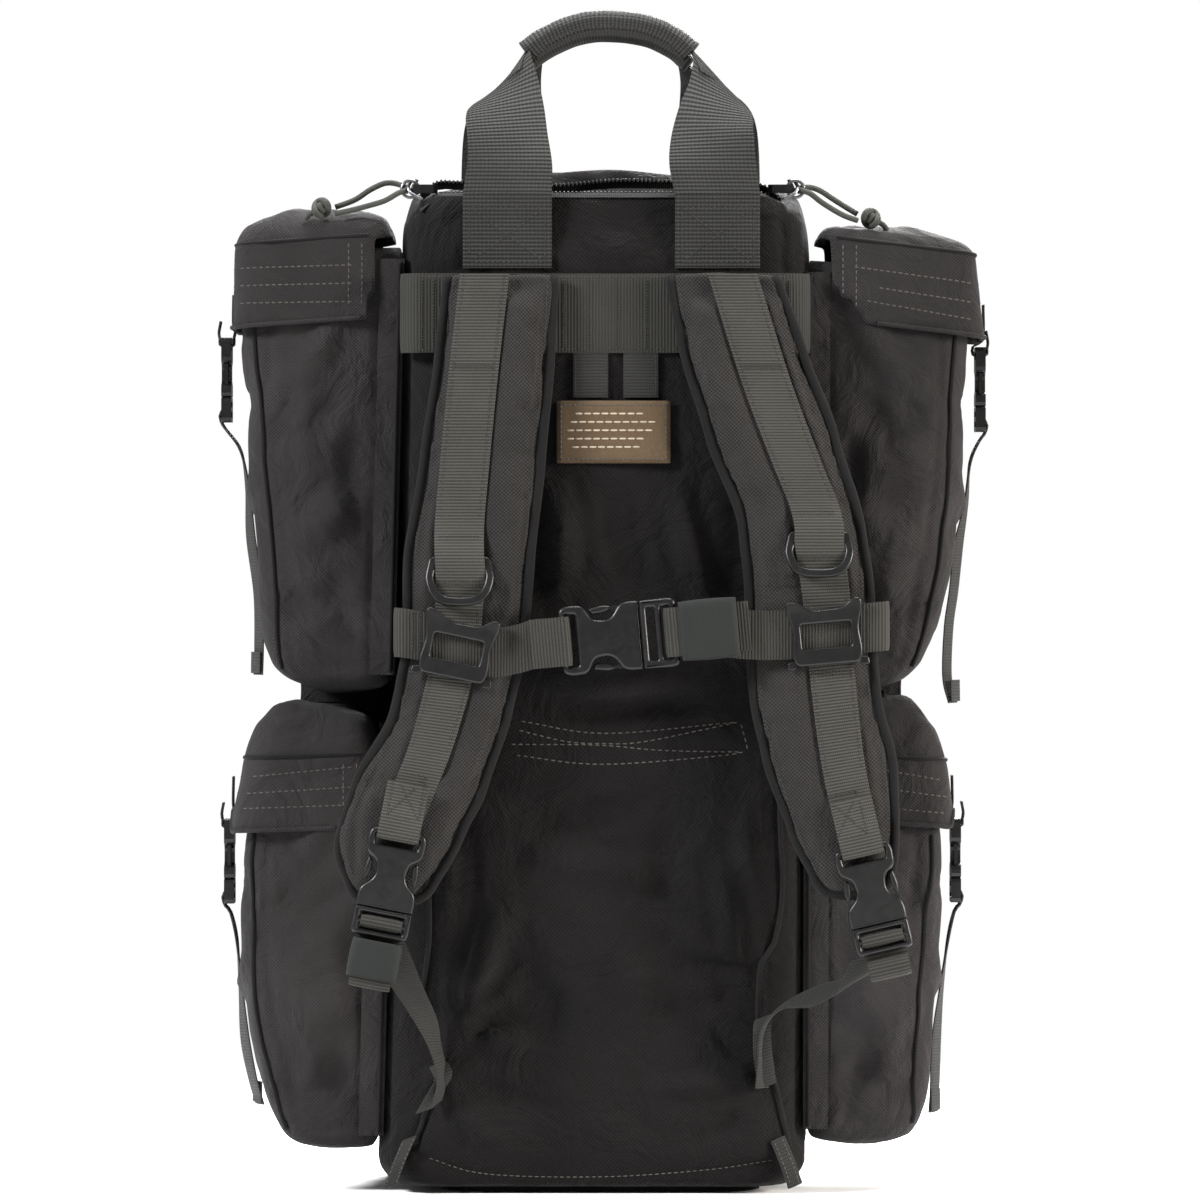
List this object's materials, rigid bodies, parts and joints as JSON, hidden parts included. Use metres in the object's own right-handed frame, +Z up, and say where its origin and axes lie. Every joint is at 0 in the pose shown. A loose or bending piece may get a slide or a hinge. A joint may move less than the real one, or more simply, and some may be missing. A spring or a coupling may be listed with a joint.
{
  "type": "trauma backpack",
  "caption": "Tall soft rescue backpack with hinged-lid side pouches, padded shoulder harness with sternum strap, top zipper and gathered carry handle.",
  "frame": {"origin": "centre of the flat base panel, on the surface that the bag stands on", "axes": "+Z up along the bag, harness side facing -Y, +X to the right of a viewer who looks at the harness side"},
  "size_m": [0.469, 0.2512, 0.714],
  "materials": {
    "fabric": "matte",
    "pad_fabric": "matte",
    "webbing": "matte",
    "label": "matte",
    "zipper_tape": "matte",
    "cord": "matte",
    "elastic": "matte",
    "plastic": "satin",
    "stiffener": "satin",
    "metal": "satin"
  },
  "bodies": {
    "root": {"main_shell": "fabric", "frame_sheet": "stiffener", "base_panel": "fabric", "yoke_webbing": "webbing", "label": "label", "zipper_tape_front": "zipper_tape", "zipper_tape_rear": "zipper_tape", "handle_loop_harness_side": "webbing", "handle_loop_far_side": "webbing", "pouch_upper_left": "fabric", "pouch_upper_right": "fabric", "pouch_lower_left": "fabric", "pouch_lower_right": "fabric", "lower_strap_left": "webbing", "lower_strap_right": "webbing"},
    "grip": {"handle_grip": "webbing"},
    "harness": {"shoulder_pad_left": "pad_fabric", "shoulder_pad_right": "pad_fabric", "shoulder_webbing_left": "webbing", "shoulder_webbing_right": "webbing", "shoulder_left_buckle_female": "plastic", "shoulder_right_buckle_female": "plastic"},
    "sternum_strap": {"sternum_slider_left": "plastic", "sternum_slider_right": "plastic", "sternum_webbing_left": "webbing", "sternum_webbing_right": "webbing", "sternum_buckle_female": "plastic"},
    "sternum_release": {"sternum_buckle_male": "plastic", "sternum_tail": "webbing", "sternum_keeper": "elastic"},
    "lid_upper_left": {"lid_upper_left": "fabric", "pouch_upper_left_buckle_female": "plastic"},
    "strap_upper_left": {"pouch_upper_left_buckle_male": "plastic", "pouch_upper_left_tail": "webbing"},
    "lid_upper_right": {"lid_upper_right": "fabric", "pouch_upper_right_buckle_female": "plastic"},
    "strap_upper_right": {"pouch_upper_right_buckle_male": "plastic", "pouch_upper_right_tail": "webbing"},
    "lid_lower_left": {"lid_lower_left": "fabric", "pouch_lower_left_buckle_female": "plastic"},
    "strap_lower_left": {"pouch_lower_left_buckle_male": "plastic", "pouch_lower_left_tail": "webbing"},
    "lid_lower_right": {"lid_lower_right": "fabric", "pouch_lower_right_buckle_female": "plastic"},
    "strap_lower_right": {"pouch_lower_right_buckle_male": "plastic", "pouch_lower_right_tail": "webbing"},
    "d_ring_left": {"d_ring_left": "plastic"},
    "shoulder_release_left": {"shoulder_left_buckle_male": "plastic", "shoulder_tail_left": "webbing"},
    "zipper_slider_left": {"zipper_slider_left": "metal"},
    "zipper_pull_left": {"zipper_pull_left": "metal", "zipper_cord_left": "cord", "zipper_knot_left": "cord"},
    "d_ring_right": {"d_ring_right": "plastic"},
    "shoulder_release_right": {"shoulder_right_buckle_male": "plastic", "shoulder_tail_right": "webbing"},
    "zipper_slider_right": {"zipper_slider_right": "metal"},
    "zipper_pull_right": {"zipper_pull_right": "metal", "zipper_cord_right": "cord", "zipper_knot_right": "cord"}
  },
  "joints": [
    {"name": "handle_collapse", "type": "slide", "parent": "root", "child": "grip", "axis": [0, 0, -1], "range_m": [0, 0.06], "deforming": ["handle_loop_harness_side", "handle_loop_far_side"]},
    {"name": "lid_upper_left_hinge", "type": "hinge", "parent": "root", "child": "lid_upper_left", "pos_m": [-0.12509, 0, 0.576], "axis": [0, 1, 0], "range_deg": [0, 50]},
    {"name": "strap_upper_left_release", "type": "slide", "parent": "lid_upper_left", "child": "strap_upper_left", "axis": [0, 0, -1], "range_m": [0, 0.02]},
    {"name": "lid_upper_right_hinge", "type": "hinge", "parent": "root", "child": "lid_upper_right", "pos_m": [0.13042, 0, 0.571], "axis": [0, -1, 0], "range_deg": [0, 50]},
    {"name": "strap_upper_right_release", "type": "slide", "parent": "lid_upper_right", "child": "strap_upper_right", "axis": [0, 0, -1], "range_m": [0, 0.02]},
    {"name": "lid_lower_left_hinge", "type": "hinge", "parent": "root", "child": "lid_lower_left", "pos_m": [-0.13256, 0, 0.272], "axis": [0, 1, 0], "range_deg": [0, 5]},
    {"name": "strap_lower_left_release", "type": "slide", "parent": "lid_lower_left", "child": "strap_lower_left", "axis": [0, 0, -1], "range_m": [0, 0.02]},
    {"name": "lid_lower_right_hinge", "type": "hinge", "parent": "root", "child": "lid_lower_right", "pos_m": [0.12965, 0, 0.276], "axis": [0, -1, 0], "range_deg": [0, 5]},
    {"name": "strap_lower_right_release", "type": "slide", "parent": "lid_lower_right", "child": "strap_lower_right", "axis": [0, 0, -1], "range_m": [0, 0.02]},
    {"name": "harness_swing", "type": "hinge", "parent": "root", "child": "harness", "pos_m": [0, -0.103, 0.5525], "axis": [-1, 0, 0], "range_deg": [0, 12], "deforming": ["lower_strap_left", "lower_strap_right"]},
    {"name": "sternum_height", "type": "slide", "parent": "harness", "child": "sternum_strap", "axis": [0, -0.0535, -0.9986], "range_m": [0, 0.025]},
    {"name": "sternum_buckle_release", "type": "slide", "parent": "sternum_strap", "child": "sternum_release", "axis": [0.9962, 0, 0.0872], "range_m": [0, 0.018]},
    {"name": "d_ring_left_hinge", "type": "hinge", "parent": "harness", "child": "d_ring_left", "pos_m": [-0.0843, -0.12815, 0.38], "axis": [-1, 0, 0], "range_deg": [0, 80]},
    {"name": "shoulder_buckle_left_release", "type": "slide", "parent": "harness", "child": "shoulder_release_left", "axis": [-0.1908, 0, -0.9816], "range_m": [0, 0.022]},
    {"name": "zipper_left_slide", "type": "slide", "parent": "root", "child": "zipper_slider_left", "axis": [1, 0, 0], "range_m": [0, 0.094], "deforming": ["zipper_cord_left", "zipper_knot_left"]},
    {"name": "zipper_pull_left_hinge", "type": "hinge", "parent": "zipper_slider_left", "child": "zipper_pull_left", "pos_m": [-0.1118, -0.086, 0.6038], "axis": [0, 1, 0], "range_deg": [0, 40]},
    {"name": "d_ring_right_hinge", "type": "hinge", "parent": "harness", "child": "d_ring_right", "pos_m": [0.1302, -0.12734, 0.395], "axis": [-1, 0, 0], "range_deg": [0, 80]},
    {"name": "shoulder_buckle_right_release", "type": "slide", "parent": "harness", "child": "shoulder_release_right", "axis": [0.225, 0, -0.9744], "range_m": [0, 0.022]},
    {"name": "zipper_right_slide", "type": "slide", "parent": "root", "child": "zipper_slider_right", "axis": [-1, 0, 0], "range_m": [0, 0.094], "deforming": ["zipper_cord_right", "zipper_knot_right"]},
    {"name": "zipper_pull_right_hinge", "type": "hinge", "parent": "zipper_slider_right", "child": "zipper_pull_right", "pos_m": [0.114, -0.086, 0.6038], "axis": [0, -1, 0], "range_deg": [0, 40]}
  ]
}
